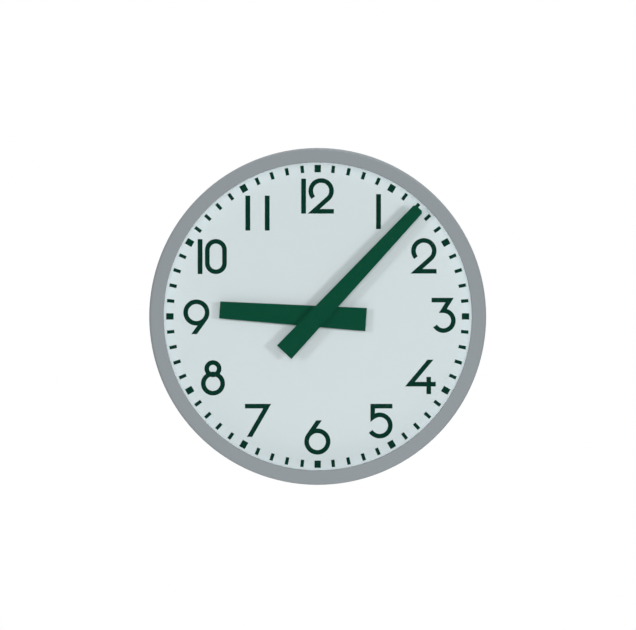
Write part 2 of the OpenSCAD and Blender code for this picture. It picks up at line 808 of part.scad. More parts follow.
// Outline of a pole piece on the right: shoe round the rotor and leg down to the coil core.
// The small notch in the shoe's bore, at the given angle, tells the rotor which way to turn.
module pole_outline(notch) {
    shoe_r = rotor_r + air_gap + shoe_w;
    difference() {
        union() {
            intersection() {
                translate([0, rotor_y]) circle(shoe_r);
                translate([shoe_split, rotor_y - shoe_r]) square([shoe_r, 2 * shoe_r]);
            }
            translate([rotor_r, rotor_y - arm_half]) square([leg_out - rotor_r, 2 * arm_half]);
            translate([leg_x, coil_y - core_h / 2]) square([leg_w, rotor_y - coil_y + core_h / 2]);
        }
        translate([0, rotor_y]) circle(rotor_r + air_gap);
        translate([0, rotor_y]) rotate(notch) translate([rotor_r + air_gap, 0]) circle(notch_r);
    }
}

// One pole piece with its screw holes, on the right.
module pole_piece(notch) {
    difference() {
        slab(inner_back_z, pole_t) pole_outline(notch);
        at_each([for (p = pole_spots()) if (p[0] > 0) p])
            bar(screw_r + fit_gap, inner_back_z - 1, pole_thread_l + 1.5);
        translate([leg_x - 1, coil_y, coil_z]) rotate([0, 90, 0])
            cylinder(r = screw_r + hole_gap, h = leg_w + 2);
    }
}

// Soft iron pole piece on the right.
module right_pole_piece() {
    color("lightslategray") face_on() pole_piece(notch_angle);
}

// Soft iron pole piece on the left, with its notch straight across the rotor from the right one's.
module left_pole_piece() {
    color("lightslategray") face_on() mirror([1, 0, 0]) pole_piece(-notch_angle);
}

// Screws through the back plate into the pole pieces.
module pole_screws() {
    color("silver") face_on() at_each(pole_spots()) translate([0, 0, plate_back_z]) mirror([0, 0, 1])
        pan_screw(plate_t + pole_thread_l);
}

// Soft iron core that joins the two legs through the coil.
module coil_core() {
    color("lightslategray") face_on() difference() {
        translate([-leg_x, coil_y - core_h / 2, inner_back_z]) cube([2 * leg_x, core_h, pole_t]);
        for (s = sides) translate([s * leg_x, coil_y, coil_z]) rotate([0, -s * 90, 0])
            translate([0, 0, -eps]) cylinder(r = screw_r + fit_gap, h = core_thread_l + 1);
    }
}

// Screws through the legs into the ends of the core.
module core_screws() {
    color("silver") face_on() for (s = sides) translate([s * leg_out, coil_y, coil_z]) rotate([0, s * 90, 0])
        pan_screw(leg_w + core_thread_l);
}

// Moulded bobbin on the core: square sleeve with two square flanges.
module coil_bobbin() {
    bore_y = core_h / 2 + hole_gap;
    bore_z = pole_t / 2 + hole_gap;
    reach = leg_x - hang_gap;
    color("ivory") face_on() translate([0, coil_y, coil_z]) difference() {
        union() {
            translate([-reach, -bore_y - bobbin_wall, -bore_z - bobbin_wall])
                cube([2 * reach, 2 * (bore_y + bobbin_wall), 2 * (bore_z + bobbin_wall)]);
            for (x = [-reach, reach - bobbin_flange]) translate([x, -bobbin_half, -bobbin_half])
                cube([bobbin_flange, 2 * bobbin_half, 2 * bobbin_half]);
        }
        translate([-reach - 1, -bore_y, -bore_z]) cube([2 * reach + 2, 2 * bore_y, 2 * bore_z]);
    }
}

// Copper winding between the bobbin's flanges.
module coil_winding() {
    slack = 0.05;
    half = leg_x - hang_gap - bobbin_flange - slack;
    sleeve_y = core_h / 2 + hole_gap + bobbin_wall + slack;
    sleeve_z = pole_t / 2 + hole_gap + bobbin_wall + slack;
    color("sienna") face_on() translate([0, coil_y, coil_z]) difference() {
        translate([-half, 0, 0]) rotate([0, 90, 0]) cylinder(r = winding_r, h = 2 * half);
        translate([-half - 1, -sleeve_y, -sleeve_z]) cube([2 * half + 2, 2 * sleeve_y, 2 * sleeve_z]);
    }
}

// Inner lead in one plane: down from the bobbin, across to the left and up into the terminal block.
module lead(start_x, low_y, end_x) {
    start_y = coil_y - bobbin_half;
    end_y = block_low + lead_reach;
    translate([start_x, low_y + lead_bend]) rotate([-90, 0, 0])
        cylinder(r = lead_r, h = start_y - low_y - lead_bend);
    translate([start_x - lead_bend, low_y + lead_bend]) rotate(-90) rotate_extrude(angle = 90)
        translate([lead_bend, 0]) circle(lead_r, $fn = 24);
    translate([end_x + lead_bend, low_y]) rotate([0, 90, 0])
        cylinder(r = lead_r, h = start_x - end_x - 2 * lead_bend);
    translate([end_x + lead_bend, low_y + lead_bend]) rotate(180) rotate_extrude(angle = 90)
        translate([lead_bend, 0]) circle(lead_r, $fn = 24);
    translate([end_x, low_y + lead_bend]) rotate([-90, 0, 0])
        cylinder(r = lead_r, h = end_y - low_y - lead_bend);
}

// Two insulated leads from the coil to the terminals.
module coil_leads() {
    first_low = coil_y - bobbin_half - lead_drop;
    color("firebrick") face_on() translate([0, 0, lead_z]) {
        lead(-lead_x, first_low, -block_x + pole_pitch / 2);
        lead(lead_x, first_low - lead_step, -block_x - pole_pitch / 2);
    }
}

// Moulded two-pole terminal block on the rear plate.
module terminal_block() {
    top_z = lead_z + block_top;
    block_round = 2;
    color("ivory") face_on() translate([-block_x, -block_drop]) difference() {
        slab(floor_z, top_z - floor_z)
            rounded_rect(-block_w / 2, -block_l / 2, block_w / 2, block_l / 2, block_round);
        for (s = sides) {
            translate([s * pole_pitch / 2, -block_l / 2 - 1, lead_z]) rotate([-90, 0, 0])
                cylinder(r = sleeve_r + fit_gap, h = block_l + 2);
            for (y = [-clamp_y, clamp_y]) translate([s * pole_pitch / 2, y])
                bar(screw_r + hole_gap, lead_z, block_top + 1);
        }
        bar(screw_r + hole_gap, floor_z - 1, top_z);
        bar(head_r + hole_gap, top_z - head_h - 1, head_h + 2);
    }
}

// Brass sleeves that join the inner leads to the impulse line.
module terminal_sleeves() {
    wire_r = lead_r + 0.4;
    color("goldenrod") face_on() for (s = sides)
        translate([-block_x + s * pole_pitch / 2, -block_drop, lead_z]) difference() {
            translate([0, -sleeve_l / 2, 0]) rotate([-90, 0, 0]) cylinder(r = sleeve_r, h = sleeve_l);
            translate([0, -sleeve_l / 2 - 1, 0]) rotate([-90, 0, 0]) cylinder(r = wire_r, h = sleeve_l + 2);
            for (y = [-clamp_y, clamp_y]) translate([0, y]) bar(screw_r + fit_gap, 0, sleeve_r + 1);
        }
}

// Clamping screws of the terminals.
module terminal_screws() {
    grip_gap = 0.1;
    head_sink = 0.7;
    color("silver") face_on() for (s = sides, y = [-clamp_y, clamp_y])
        translate([-block_x + s * pole_pitch / 2, y - block_drop, 0])
            bar(screw_r, lead_z + lead_r + grip_gap, block_top - lead_r - grip_gap - head_sink);
}

// Screw that holds the terminal block on the rear plate.
module block_screw() {
    top_z = lead_z + block_top;
    color("silver") face_on() translate([-block_x, -block_drop, top_z - head_h - 1])
        pan_screw(top_z - head_h - 1 - back_z - 0.1);
}

// Fixed stud under the dial on which the minute wheel turns.
module minute_wheel_stud() {
    stud_end = 0.4;
    shoulder_w = 1;
    color("silver") face_on() translate([0, stud_y]) {
        bar(stud_r, inner_front_z, clip_z + clip_t + stud_end - inner_front_z);
        bar(stud_r + shoulder_w, plate_front_z, stud_shoulder);
    }
}

// Spring clip that keeps the minute wheel on its stud.
module stud_clip() {
    clip_w = 1.3;
    mouth = 2;
    color("darkgray") face_on() translate([0, stud_y]) difference() {
        tube(stud_r + clip_w, stud_r + fit_gap, clip_z, clip_t);
        translate([0, -mouth / 2, clip_z - 1]) cube([stud_r + clip_w + 1, mouth, clip_t + 2]);
    }
}

// Centre arbor, from the setting knob through both plates to the minute hand.
module centre_arbor() {
    color("silver") face_on() {
        bar(arbor_r, knob_z + knob_floor, minute_z - pivot_end - knob_z - knob_floor);
        bar(barrel_r, inner_back_z + shake, plate_gap - 2 * shake);
    }
}

// Centre wheel, driven round once an hour.
module centre_wheel() {
    color("gold") face_on() rotate(centre_phase) difference() {
        slab(centre_wheel_z, wheel_t) difference() {
            wheel_teeth(centre_teeth, train_module, intermediate_leaves);
            crossings(barrel_r + hub_wall, train_module * centre_teeth / 2 - rim_w, cross_w);
        }
        bar(barrel_r + fit_gap, centre_wheel_z - 1, wheel_t + 2);
    }
}

// Cannon pinion: leaves at its foot and a long pipe under the hour wheel's pipe.
module cannon_pinion() {
    color("silver") face_on() rotate(cannon_phase) difference() {
        union() {
            slab(cannon_z, cannon_leaf_l) pinion_leaves(cannon_leaves, motion_module, minute_teeth);
            bar(cannon_pipe_r, cannon_z, cannon_pipe_top - cannon_z);
        }
        bar(arbor_r + fit_gap, cannon_z - 1, cannon_pipe_top - cannon_z + 2);
    }
}

// Brass boss on the back of the minute hand, bored for the arbor.
module minute_hand_boss() {
    color("goldenrod") face_on()
        tube(minute_boss_r, arbor_r + fit_gap, minute_z - minute_boss_h, minute_boss_h);
}

// Minute hand blade.
module minute_hand() {
    color("darkgreen") face_on() rotate(-minute_angle) slab(minute_z, hand_t)
        blade(minute_tail, minute_tail_w, minute_length, minute_tip_w, minute_corner);
}

// Fluted knob on the rear end of the centre arbor, for setting the hands.
module setting_knob() {
    flutes = 16;
    flute_r = 1.2;
    flute_depth = 0.7;
    disc_l = knob_l * 0.6;
    neck_wall = 2.5;
    color("black") face_on() difference() {
        union() {
            bar(knob_r, knob_z, disc_l);
            bar(arbor_r + neck_wall, knob_z, knob_l);
        }
        for (i = [0 : flutes - 1]) rotate(i * 360 / flutes) translate([knob_r + flute_r - flute_depth, 0])
            bar(flute_r, knob_z - 1, disc_l + 2);
        bar(arbor_r + fit_gap, knob_z + knob_floor - 0.1, knob_l);
    }
}

// Hour wheel with the pipe that carries the hour hand.
module hour_wheel() {
    pipe_foot = 0.3;
    color("gold") face_on() rotate(hour_phase) difference() {
        union() {
            slab(hour_wheel_z, motion_t) difference() {
                wheel_teeth(hour_teeth, motion_module, minute_leaves);
                crossings(hour_pipe_r + 1.4, motion_module * hour_teeth / 2 - motion_rim_w, motion_cross_w);
            }
            bar(hour_pipe_r, hour_wheel_z - pipe_foot, hour_z - hour_wheel_z + pipe_foot);
        }
        bar(hour_pipe_in, hour_wheel_z - 1, hour_z - hour_wheel_z + 2);
    }
}

// Brass boss on the back of the hour hand.
module hour_hand_boss() {
    color("goldenrod") face_on() tube(hour_boss_r, hour_pipe_r + fit_gap, hour_z - hour_boss_h, hour_boss_h);
}

// Hour hand blade, bored for the cannon pinion's pipe.
module hour_hand() {
    hour_corner = 0.3;
    color("darkgreen") face_on() rotate(-hour_angle) slab(hour_z, hand_t) difference() {
        blade(hour_tail, hour_tail_w, hour_length, hour_tip_w, hour_corner);
        circle(cannon_pipe_r + hole_gap);
    }
}

// Minute wheel, turned by the cannon pinion.
module minute_wheel() {
    color("gold") face_on() translate([0, stud_y]) rotate(minute_phase)
        slab(minute_wheel_z, motion_t) difference() {
            wheel_teeth(minute_teeth, motion_module, cannon_leaves);
            crossings(hub_r + 1.6, motion_module * minute_teeth / 2 - motion_rim_w, motion_cross_w);
            circle(hub_r + fit_gap);
        }
}

// Pinion fixed in the minute wheel, which turns the hour wheel.
module minute_wheel_pinion() {
    hub_z = plate_front_z + stud_shoulder + hole_gap;
    color("silver") face_on() translate([0, stud_y]) rotate(minute_phase) difference() {
        union() {
            bar(hub_r, hub_z, minute_leaf_z - hub_z + eps);
            slab(minute_leaf_z, minute_leaf_l) pinion_leaves(minute_leaves, motion_module, hour_teeth);
        }
        bar(stud_r + run_fit, hub_z - 1, minute_leaf_z + minute_leaf_l - hub_z + 2);
    }
}

// Intermediate arbor with its pinion cut in one piece.
module intermediate_arbor() {
    color("silver") face_on() translate([intermediate_x, intermediate_y]) rotate(intermediate_phase) {
        bar(pivot_r, plate_back_z - pivot_end, plate_gap + 2 * (plate_t + pivot_end));
        bar(spindle_r, inner_back_z + shake, plate_gap - 2 * shake);
        slab(leaf_back_z, leaf_l) pinion_leaves(intermediate_leaves, train_module, centre_teeth);
    }
}

// Intermediate wheel, turned by the rotor pinion.
module intermediate_wheel() {
    color("gold") face_on() translate([intermediate_x, intermediate_y]) rotate(intermediate_phase)
        slab(intermediate_wheel_z, wheel_t) difference() {
            wheel_teeth(intermediate_teeth, train_module, rotor_leaves);
            crossings(spindle_r + hub_wall, train_module * intermediate_teeth / 2 - rim_w, cross_w);
            circle(spindle_r + fit_gap);
        }
}

// Rotor arbor with its pinion cut in one piece.
module rotor_arbor() {
    color("silver") face_on() translate([0, rotor_y]) rotate(rotor_phase) {
        bar(pivot_r, plate_back_z - pivot_end, plate_gap + 2 * (plate_t + pivot_end));
        bar(spindle_r, inner_back_z + shake, plate_gap - 2 * shake);
        slab(rotor_leaf_z, rotor_leaf_l) pinion_leaves(rotor_leaves, train_module, intermediate_teeth);
    }
}

// Rotor magnet, magnetised across its diameter, which makes half a turn at each impulse.
module rotor_magnet() {
    color("darkslategray") face_on() translate([0, rotor_y]) tube(rotor_r, spindle_r + fit_gap, rotor_z, rotor_l);
}

wall_bracket();
rear_plate();
rear_rivets();
back_case();
wall_bumpers();
cable_grommet();
dial();
minute_track();
dial_screws();
dial_nuts();
spacer_ring();
glass_gasket();
glass();
bezel();
bezel_screws();
bezel_nuts();
dial_posts();
post_screws();
front_plate();
back_plate();
plate_pillars();
pillar_screws();
arbor_bushes();
left_pole_piece();
right_pole_piece();
pole_screws();
coil_core();
core_screws();
coil_bobbin();
coil_winding();
coil_leads();
terminal_block();
terminal_sleeves();
terminal_screws();
block_screw();
minute_wheel_stud();
stud_clip();
centre_arbor();
centre_wheel();
cannon_pinion();
minute_hand_boss();
minute_hand();
setting_knob();
hour_wheel();
hour_hand_boss();
hour_hand();
minute_wheel();
minute_wheel_pinion();
intermediate_arbor();
intermediate_wheel();
rotor_arbor();
rotor_magnet();
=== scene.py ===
"""Slave clock: a round wall clock with a grey metal bezel, a pale dial and dark green tapered hands."""
import math

import bmesh
import bpy
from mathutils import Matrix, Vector


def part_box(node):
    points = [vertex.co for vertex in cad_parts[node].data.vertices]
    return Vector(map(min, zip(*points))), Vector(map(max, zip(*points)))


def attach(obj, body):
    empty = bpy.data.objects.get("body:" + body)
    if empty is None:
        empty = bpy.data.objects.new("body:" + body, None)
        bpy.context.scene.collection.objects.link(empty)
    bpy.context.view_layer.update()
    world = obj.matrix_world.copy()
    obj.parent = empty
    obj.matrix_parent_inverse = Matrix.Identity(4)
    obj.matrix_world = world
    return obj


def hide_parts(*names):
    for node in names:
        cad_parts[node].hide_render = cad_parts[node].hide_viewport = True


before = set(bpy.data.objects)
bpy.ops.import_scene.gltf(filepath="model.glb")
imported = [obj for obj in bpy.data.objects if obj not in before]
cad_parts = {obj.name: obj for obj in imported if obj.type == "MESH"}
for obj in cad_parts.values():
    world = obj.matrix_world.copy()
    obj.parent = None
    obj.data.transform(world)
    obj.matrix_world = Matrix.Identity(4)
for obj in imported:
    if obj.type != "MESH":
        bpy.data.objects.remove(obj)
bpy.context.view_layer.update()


# Wall bracket: a bent sheet-steel plate, zinc plated, screwed to the wall and never painted.
# The plating shows fine rolling lines and slight clouds.

class Wire:
    """A socket in a node tree. Arithmetic on wires and numbers adds Math nodes."""

    def __init__(self, tree, socket):
        self.tree = tree
        self.socket = socket

    def node(self, kind, settings=None, inputs=None, output=0):
        """Adds a node: its settings first, then the values or links of its sockets."""
        new = self.tree.nodes.new(kind)
        for key, value in (settings or {}).items():
            setattr(new, key, value)
        for key, value in (inputs or {}).items():
            if isinstance(value, Wire):
                self.tree.links.new(value.socket, new.inputs[key])
            else:
                new.inputs[key].default_value = value
        return Wire(self.tree, new.outputs[output])

    def math(self, operation, other=0.0, swap=False):
        pair = (other, self) if swap else (self, other)
        return self.node("ShaderNodeMath", {"operation": operation}, dict(enumerate(pair)))

    def __add__(self, other):
        return self.math("ADD", other)

    def __rsub__(self, other):
        return self.math("SUBTRACT", other, swap=True)

    def __mul__(self, other):
        return self.math("MULTIPLY", other)

    def feed(self, shader, socket):
        """Links this wire to a socket of a node."""
        self.tree.links.new(self.socket, shader.inputs[socket])

    def noise(self, scale, detail=3.0):
        """Noise from 0 to 1 over these coordinates, its grains about one over scale metres wide."""
        return self.node("ShaderNodeTexNoise", inputs={"Vector": self, "Scale": scale, "Detail": detail})

    def stretched(self, x, y, z):
        """These coordinates multiplied along each axis."""
        return self.node("ShaderNodeMapping", inputs={"Vector": self, "Scale": (x, y, z)})

    def colour(self, low, high):
        """The colour that goes from low to high as this wire goes from 0 to 1.

        A Mix node's factor is its socket 0, and its two colours are sockets 6 and 7.
        """
        return self.node("ShaderNodeMix", {"data_type": "RGBA"}, {0: self, 6: low, 7: high}, output=2)

    def mixed(self, other, share):
        """This wire with a share of another."""
        return self * (1 - share) + other * share

    def shades(self, colour, darkest, lightest):
        """The colour times a factor that goes from darkest to lightest as this wire goes from 0 to 1."""
        return self.colour(tone(colour, darkest), tone(colour, lightest))

    def raise_surface(self, shader, depth):
        """Lets a height from 0 to 1 raise the shader's surface by depth in metres."""
        self.node("ShaderNodeBump", inputs={"Height": self, "Distance": depth}).feed(shader, "Normal")


def linear(red, green, blue):
    """A colour written as 0 to 255 on the screen, in Blender's linear values, by the sRGB curve."""
    full, offset, power = 255, 0.055, 2.4
    return tuple(((c / full + offset) / (1 + offset)) ** power for c in (red, green, blue))


def tone(colour, factor):
    """The colour made lighter or darker by a factor, with full alpha."""
    return tuple(min(1.0, c * factor) for c in colour) + (1.0,)


def start(name, **constants):
    """A new material: itself, the place on the object and its shader, whose constants are set by name."""
    material = bpy.data.materials.new(name)
    material.use_nodes = True
    tree = material.node_tree
    shader = tree.nodes["Principled BSDF"]
    for socket, value in constants.items():
        shader.inputs[socket.replace("_", " ")].default_value = value
    coordinates = tree.nodes.new("ShaderNodeTexCoord")
    return material, Wire(tree, coordinates.outputs["Object"]), shader


def varied(value, *layers):
    """A value that layers of noise change around it, each layer a wire and its whole span."""
    total = value - sum(span for wire, span in layers) / 2
    for wire, span in layers:
        total = wire * span + total
    return total


def plated(name, colour, roughness, rolling=(1.0, 1.0, 14.0)):
    """Plated or ground metal: long fine lines and a slight change of tone."""
    material, place, shader = start(name, Metallic=1.0)
    lines = place.stretched(*rolling).noise(scale=300.0, detail=2.0)
    clouds = place.noise(scale=40.0)
    tones = clouds.mixed(lines, share=0.4).shades(colour, darkest=0.86, lightest=1.1)
    tones.feed(shader, "Base Color")
    varied(roughness, (lines, 0.2), (clouds, 0.1)).feed(shader, "Roughness")
    lines.raise_surface(shader, depth=0.000004)
    return material


def dress(material, *nodes):
    """Gives a material to CAD nodes."""
    for name in nodes:
        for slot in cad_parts[name].material_slots:
            slot.material = material


zinc = plated("zinc_plate", (0.56, 0.57, 0.58), 0.4)
dress(zinc, "wall_bracket")


# Back case: a spun aluminium drum with a turned-in dial seat, closed by a flat plate
# that is riveted to its rear flange. Both are painted grey, and the spinning roller
# leaves faint rings under the paint. The rivets stay bare.

def painted(name, colour, roughness, spread=0.05, peel=0.000012, grain=900.0, ring_depth=0.0, gloss=0.5):
    """Stoved paint: clouds of tone, an orange-peel skin, duller patches and perhaps spinning rings."""
    material, place, shader = start(name, Specular_IOR_Level=gloss)
    clouds = place.noise(scale=14.0)
    skin = place.noise(grain, detail=2.0)
    tones = clouds.mixed(skin, share=0.3).shades(colour, darkest=1 - spread, lightest=1 + spread)
    tones.feed(shader, "Base Color")
    varied(roughness, (clouds, 0.16), (skin, 0.06)).feed(shader, "Roughness")
    height = skin
    if ring_depth:
        phase_a_metre, wander = 2600.0, 2.0
        flat = place.stretched(1.0, 0.0, 1.0)
        radius = flat.node("ShaderNodeVectorMath", {"operation": "LENGTH"}, {0: flat}, output="Value")
        rings = (radius * phase_a_metre + clouds * wander).math("SINE")
        height = skin + rings * (ring_depth / peel)
    height.raise_surface(shader, peel)
    return material


case_grey = painted("case_grey", linear(166, 170, 173), 0.5, spread=0.04, ring_depth=0.000006, gloss=0.3)
dress(case_grey, "back_case", "rear_plate")
dress(zinc, "rear_rivets")


# Rubber bumpers and cable grommet: moulded black rubber, pushed into holes of the back.
# Mould grain all over, and a pale bloom in patches.

def moulded(name, colour, roughness, grain=2500.0, depth=0.00002, gloss=0.5):
    """Rubber, moulded plastic or printing ink: an even grain and a soft change of tone."""
    material, place, shader = start(name, Specular_IOR_Level=gloss)
    fine = place.noise(grain, detail=2.0)
    clouds = place.noise(scale=60.0)
    tones = clouds.mixed(fine, share=0.5).shades(colour, darkest=0.86, lightest=1.12)
    tones.feed(shader, "Base Color")
    varied(roughness, (fine, 0.14), (clouds, 0.1)).feed(shader, "Roughness")
    fine.raise_surface(shader, depth)
    return material


black_rubber = moulded("black_rubber", (0.02, 0.02, 0.022), 0.72)
dress(black_rubber, "wall_bumpers", "cable_grommet")


# Movement frame: two steel plates held apart by brass pillars, with bronze bushes for the arbors.
# Brass posts carry it on the back of the dial.

def turned(name, colour, roughness, grain=900.0):
    """Turned or drawn brass, bronze or copper: fine tool marks and a warm change of tone."""
    material, place, shader = start(name, Metallic=1.0)
    marks = place.stretched(1.0, 6.0, 1.0).noise(grain, detail=2.0)
    clouds = place.noise(scale=90.0)
    tones = clouds.mixed(marks, share=0.3).shades(colour, darkest=0.8, lightest=1.1)
    tones.feed(shader, "Base Color")
    varied(roughness, (marks, 0.16), (clouds, 0.1)).feed(shader, "Roughness")
    marks.raise_surface(shader, depth=0.000005)
    return material


brass = turned("brass", (0.72, 0.5, 0.2), 0.32)
dress(plated("bright_zinc", (0.62, 0.62, 0.6), 0.34), "front_plate", "back_plate")
dress(brass, "plate_pillars", "dial_posts")
dress(turned("bronze", (0.5, 0.27, 0.13), 0.38), "arbor_bushes")


# Screws: zinc-plated steel with a cut slot and a rolled thread. One turned screw is made
# for each row from the sizes of the CAD screws, and set on their places with its slot
# at any angle.

segments = 24
thread_pitch = 0.0005
thread_depth = 0.0002
rows_a_turn = 4
slot_share = 0.32
slot_depth = 0.0008
grub_slot_depth = 0.0009
sunk_height = 0.0014
grub_edge = 0.0004
overhang = 0.001
hair = 0.00001
decimals = 6


def solids_of(node):
    """The corner points of each separate solid of a CAD node."""
    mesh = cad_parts[node].data
    keys = [tuple(round(c, decimals) for c in vertex.co) for vertex in mesh.vertices]
    leader = {key: key for key in keys}

    def root_of(key):
        while leader[key] != key:
            key = leader[key]
        return key

    for polygon in mesh.polygons:
        first = root_of(keys[polygon.vertices[0]])
        for index in polygon.vertices[1:]:
            leader[root_of(keys[index])] = first
    groups = {}
    for key in leader:
        groups.setdefault(root_of(key), []).append(Vector(key))
    return list(groups.values())


def measured(points, axis):
    """A CAD screw's outer end, outward axis, head radius, head height, thread radius and length.

    Without an axis, the screw is taken to point straight out from the middle of the clock.
    """
    rim_share = 0.9
    middle = (Vector(min(p[i] for p in points) for i in range(3)) +
              Vector(max(p[i] for p in points) for i in range(3))) / 2
    if axis is None:
        axis = Vector((middle.x, 0.0, middle.z)).normalized()
    along = [(p - middle).dot(axis) for p in points]
    out = [((p - middle) - axis * a).length for p, a in zip(points, along)]
    head = [a for a, r in zip(along, out) if r > rim_share * max(out)]
    if sum(head) < 0:
        axis, along, head = -axis, [-a for a in along], [-a for a in head]
    end = max(along)
    thread = max(r for a, r in zip(along, out) if a < min(along) + hair)
    return middle + axis * end, axis, max(out), end - min(head), thread, end - min(along)


def revolved(name, profile):
    """A closed round body from rows of radius, z and thread depth, top to bottom, in metres, as a mesh."""
    mesh = bmesh.new()
    rings = []
    for radius, z, depth in profile:
        ring = []
        for k in range(segments):
            angle = 2 * math.pi * k / segments
            bare = radius - depth * abs((z / thread_pitch + k / segments) % 1.0 * 2 - 1)
            ring.append(mesh.verts.new((bare * math.cos(angle), bare * math.sin(angle), z)))
        rings.append(ring)
    for upper, lower in zip(rings, rings[1:]):
        for k in range(segments):
            n = (k + 1) % segments
            mesh.faces.new((upper[k], lower[k], lower[n], upper[n]))
    mesh.faces.new(rings[0])
    mesh.faces.new(tuple(reversed(rings[-1])))
    data = bpy.data.meshes.new(name)
    mesh.to_mesh(data)
    mesh.free()
    return data


def object_of(name, data):
    """A new object of a mesh, in the scene."""
    made = bpy.data.objects.new(name, data)
    bpy.context.scene.collection.objects.link(made)
    return made


def cut_box(target, half_x, half_y, low_z, high_z):
    """Cuts a box out of an object and keeps the result as its mesh."""
    mesh = bmesh.new()
    bmesh.ops.create_cube(mesh, size=1.0)
    for vertex in mesh.verts:
        vertex.co = (2 * half_x * vertex.co.x, 2 * half_y * vertex.co.y,
                     (low_z + high_z) / 2 + (high_z - low_z) * vertex.co.z)
    data = bpy.data.meshes.new("cutter")
    mesh.to_mesh(data)
    mesh.free()
    cutter = object_of("cutter", data)
    difference = target.modifiers.new("cut", "BOOLEAN")
    difference.operation = "DIFFERENCE"
    difference.solver = "EXACT"
    difference.object = cutter
    kept = bpy.data.meshes.new_from_object(target.evaluated_get(bpy.context.evaluated_depsgraph_get()))
    target.modifiers.clear()
    target.data = kept
    bpy.data.objects.remove(cutter)


def group_inputs(name, sockets):
    """A new Geometry Nodes group and its named inputs as wires."""
    tree = bpy.data.node_groups.new(name, "GeometryNodeTree")
    for label, kind in sockets.items():
        tree.interface.new_socket(label, in_out="INPUT", socket_type=kind)
    tree.interface.new_socket("Geometry", in_out="OUTPUT", socket_type="NodeSocketGeometry")
    source = tree.nodes.new("NodeGroupInput")
    return tree, {label: Wire(tree, source.outputs[label]) for label in sockets}


def close_group(tree, geometry, material):
    """Ends a group: instances made real, material set, linked to the output."""
    real = geometry.node("GeometryNodeRealizeInstances", inputs={"Geometry": geometry})
    dressed = real.node("GeometryNodeSetMaterial", inputs={"Geometry": real, "Material": material})
    dressed.feed(tree.nodes.new("NodeGroupOutput"), "Geometry")


def grown(name, data, tree, values):
    """Runs a group on a mesh with its inputs set by name, and returns a plain object of what it made."""
    carrier = object_of(name, data)
    modifier = carrier.modifiers.new("nodes", "NODES")
    modifier.node_group = tree
    for item in tree.interface.items_tree:
        if item.in_out == "INPUT" and item.name in values:
            modifier[item.identifier] = values[item.name]
    made = bpy.data.meshes.new_from_object(carrier.evaluated_get(bpy.context.evaluated_depsgraph_get()))
    carrier.modifiers.clear()
    carrier.data = made
    return carrier


row_tree, row = group_inputs("screw_row", {
    "Geometry": "NodeSocketGeometry", "Screw": "NodeSocketObject", "Seed": "NodeSocketInt",
    "Material": "NodeSocketMaterial"})
screw_mesh = row["Screw"].node("GeometryNodeObjectInfo", {"transform_space": "ORIGINAL"},
                               {"Object": row["Screw"]}, output="Geometry")
out_axis = row["Seed"].node("GeometryNodeInputNamedAttribute", {"data_type": "FLOAT_VECTOR"},
                            {"Name": "axis"})
upright = out_axis.node("FunctionNodeAlignRotationToVector", {"axis": "Z"}, {"Vector": out_axis})
# Socket 3 of a Random Value node is its highest number: half a turn, after which a slot looks the same.
turn = row["Seed"].node("FunctionNodeRandomValue", {"data_type": "FLOAT"},
                        {3: math.pi, "Seed": row["Seed"]}, output=1)
spin = turn.node("FunctionNodeAxisAngleToRotation", inputs={"Axis": (0.0, 0.0, 1.0), "Angle": turn})
facing = upright.node("FunctionNodeRotateRotation", {"rotation_space": "LOCAL"},
                      {"Rotation": upright, "Rotate By": spin})
placed_screws = row["Geometry"].node("GeometryNodeInstanceOnPoints", inputs={
    "Points": row["Geometry"], "Instance": screw_mesh, "Rotation": facing})
close_group(row_tree, placed_screws, row["Material"])


def screw_row(node, axis, kind, seed):
    """Replaces a CAD row of screws by slotted and threaded ones. The kind is pan, sunk or grub.

    A head is a list of shares of the head's radius and height, from its top to its underside.
    """
    found = [measured(points, axis) for points in solids_of(node)]
    head_r, head_h, thread_r, length = found[0][2:]
    if kind == "pan":
        head = [(0.5, 0.0), (0.86, -0.04), (0.97, -0.2), (1.0, -0.45), (1.0, -1.0)]
    elif kind == "sunk":
        head = [(0.6, 0.0), (1.0, 0.0)]
        head_h = sunk_height
    else:
        head = [(0.5, 0.0), (0.8, 0.0), (1.0, -0.04)]
        head_h = grub_edge
    profile = [(head_r * share, head_h * z, 0.0) for share, z in head]
    step = thread_pitch / rows_a_turn
    profile.append((thread_r, -head_h - hair, 0.0))
    for i in range(1, max(2, int((length - head_h) / step))):
        profile.append((thread_r, -head_h - i * step, thread_depth))
    profile.append((thread_r - thread_depth, -length, 0.0))
    prototype = object_of(f"{node}_one", revolved(f"{node}_one", profile))
    slot_half = head_r * slot_share / 2
    floor_z = -grub_slot_depth if kind == "grub" else -slot_depth
    cut_box(prototype, head_r + overhang, slot_half, floor_z, overhang)
    spots = bpy.data.meshes.new(f"{node}_spots")
    spots.from_pydata([f[0] for f in found], [], [])
    axes = spots.attributes.new("axis", "FLOAT_VECTOR", "POINT")
    axes.data.foreach_set("vector", [c for f in found for c in f[1]])
    screws = grown(f"{node}_slotted", spots, row_tree, {"Screw": prototype, "Seed": seed, "Material": zinc})
    bpy.data.objects.remove(prototype)
    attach(screws, "case")
    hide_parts(node)


depth_axis = Vector((0.0, -1.0, 0.0))
screw_row("pillar_screws", depth_axis, "pan", 3)
screw_row("post_screws", depth_axis, "pan", 5)


# Train: brass wheels, crossed out, on steel arbors whose pinions are cut in one piece.
# The rotor magnet turns half a turn at each impulse between two pole pieces of stacked soft iron sheets.

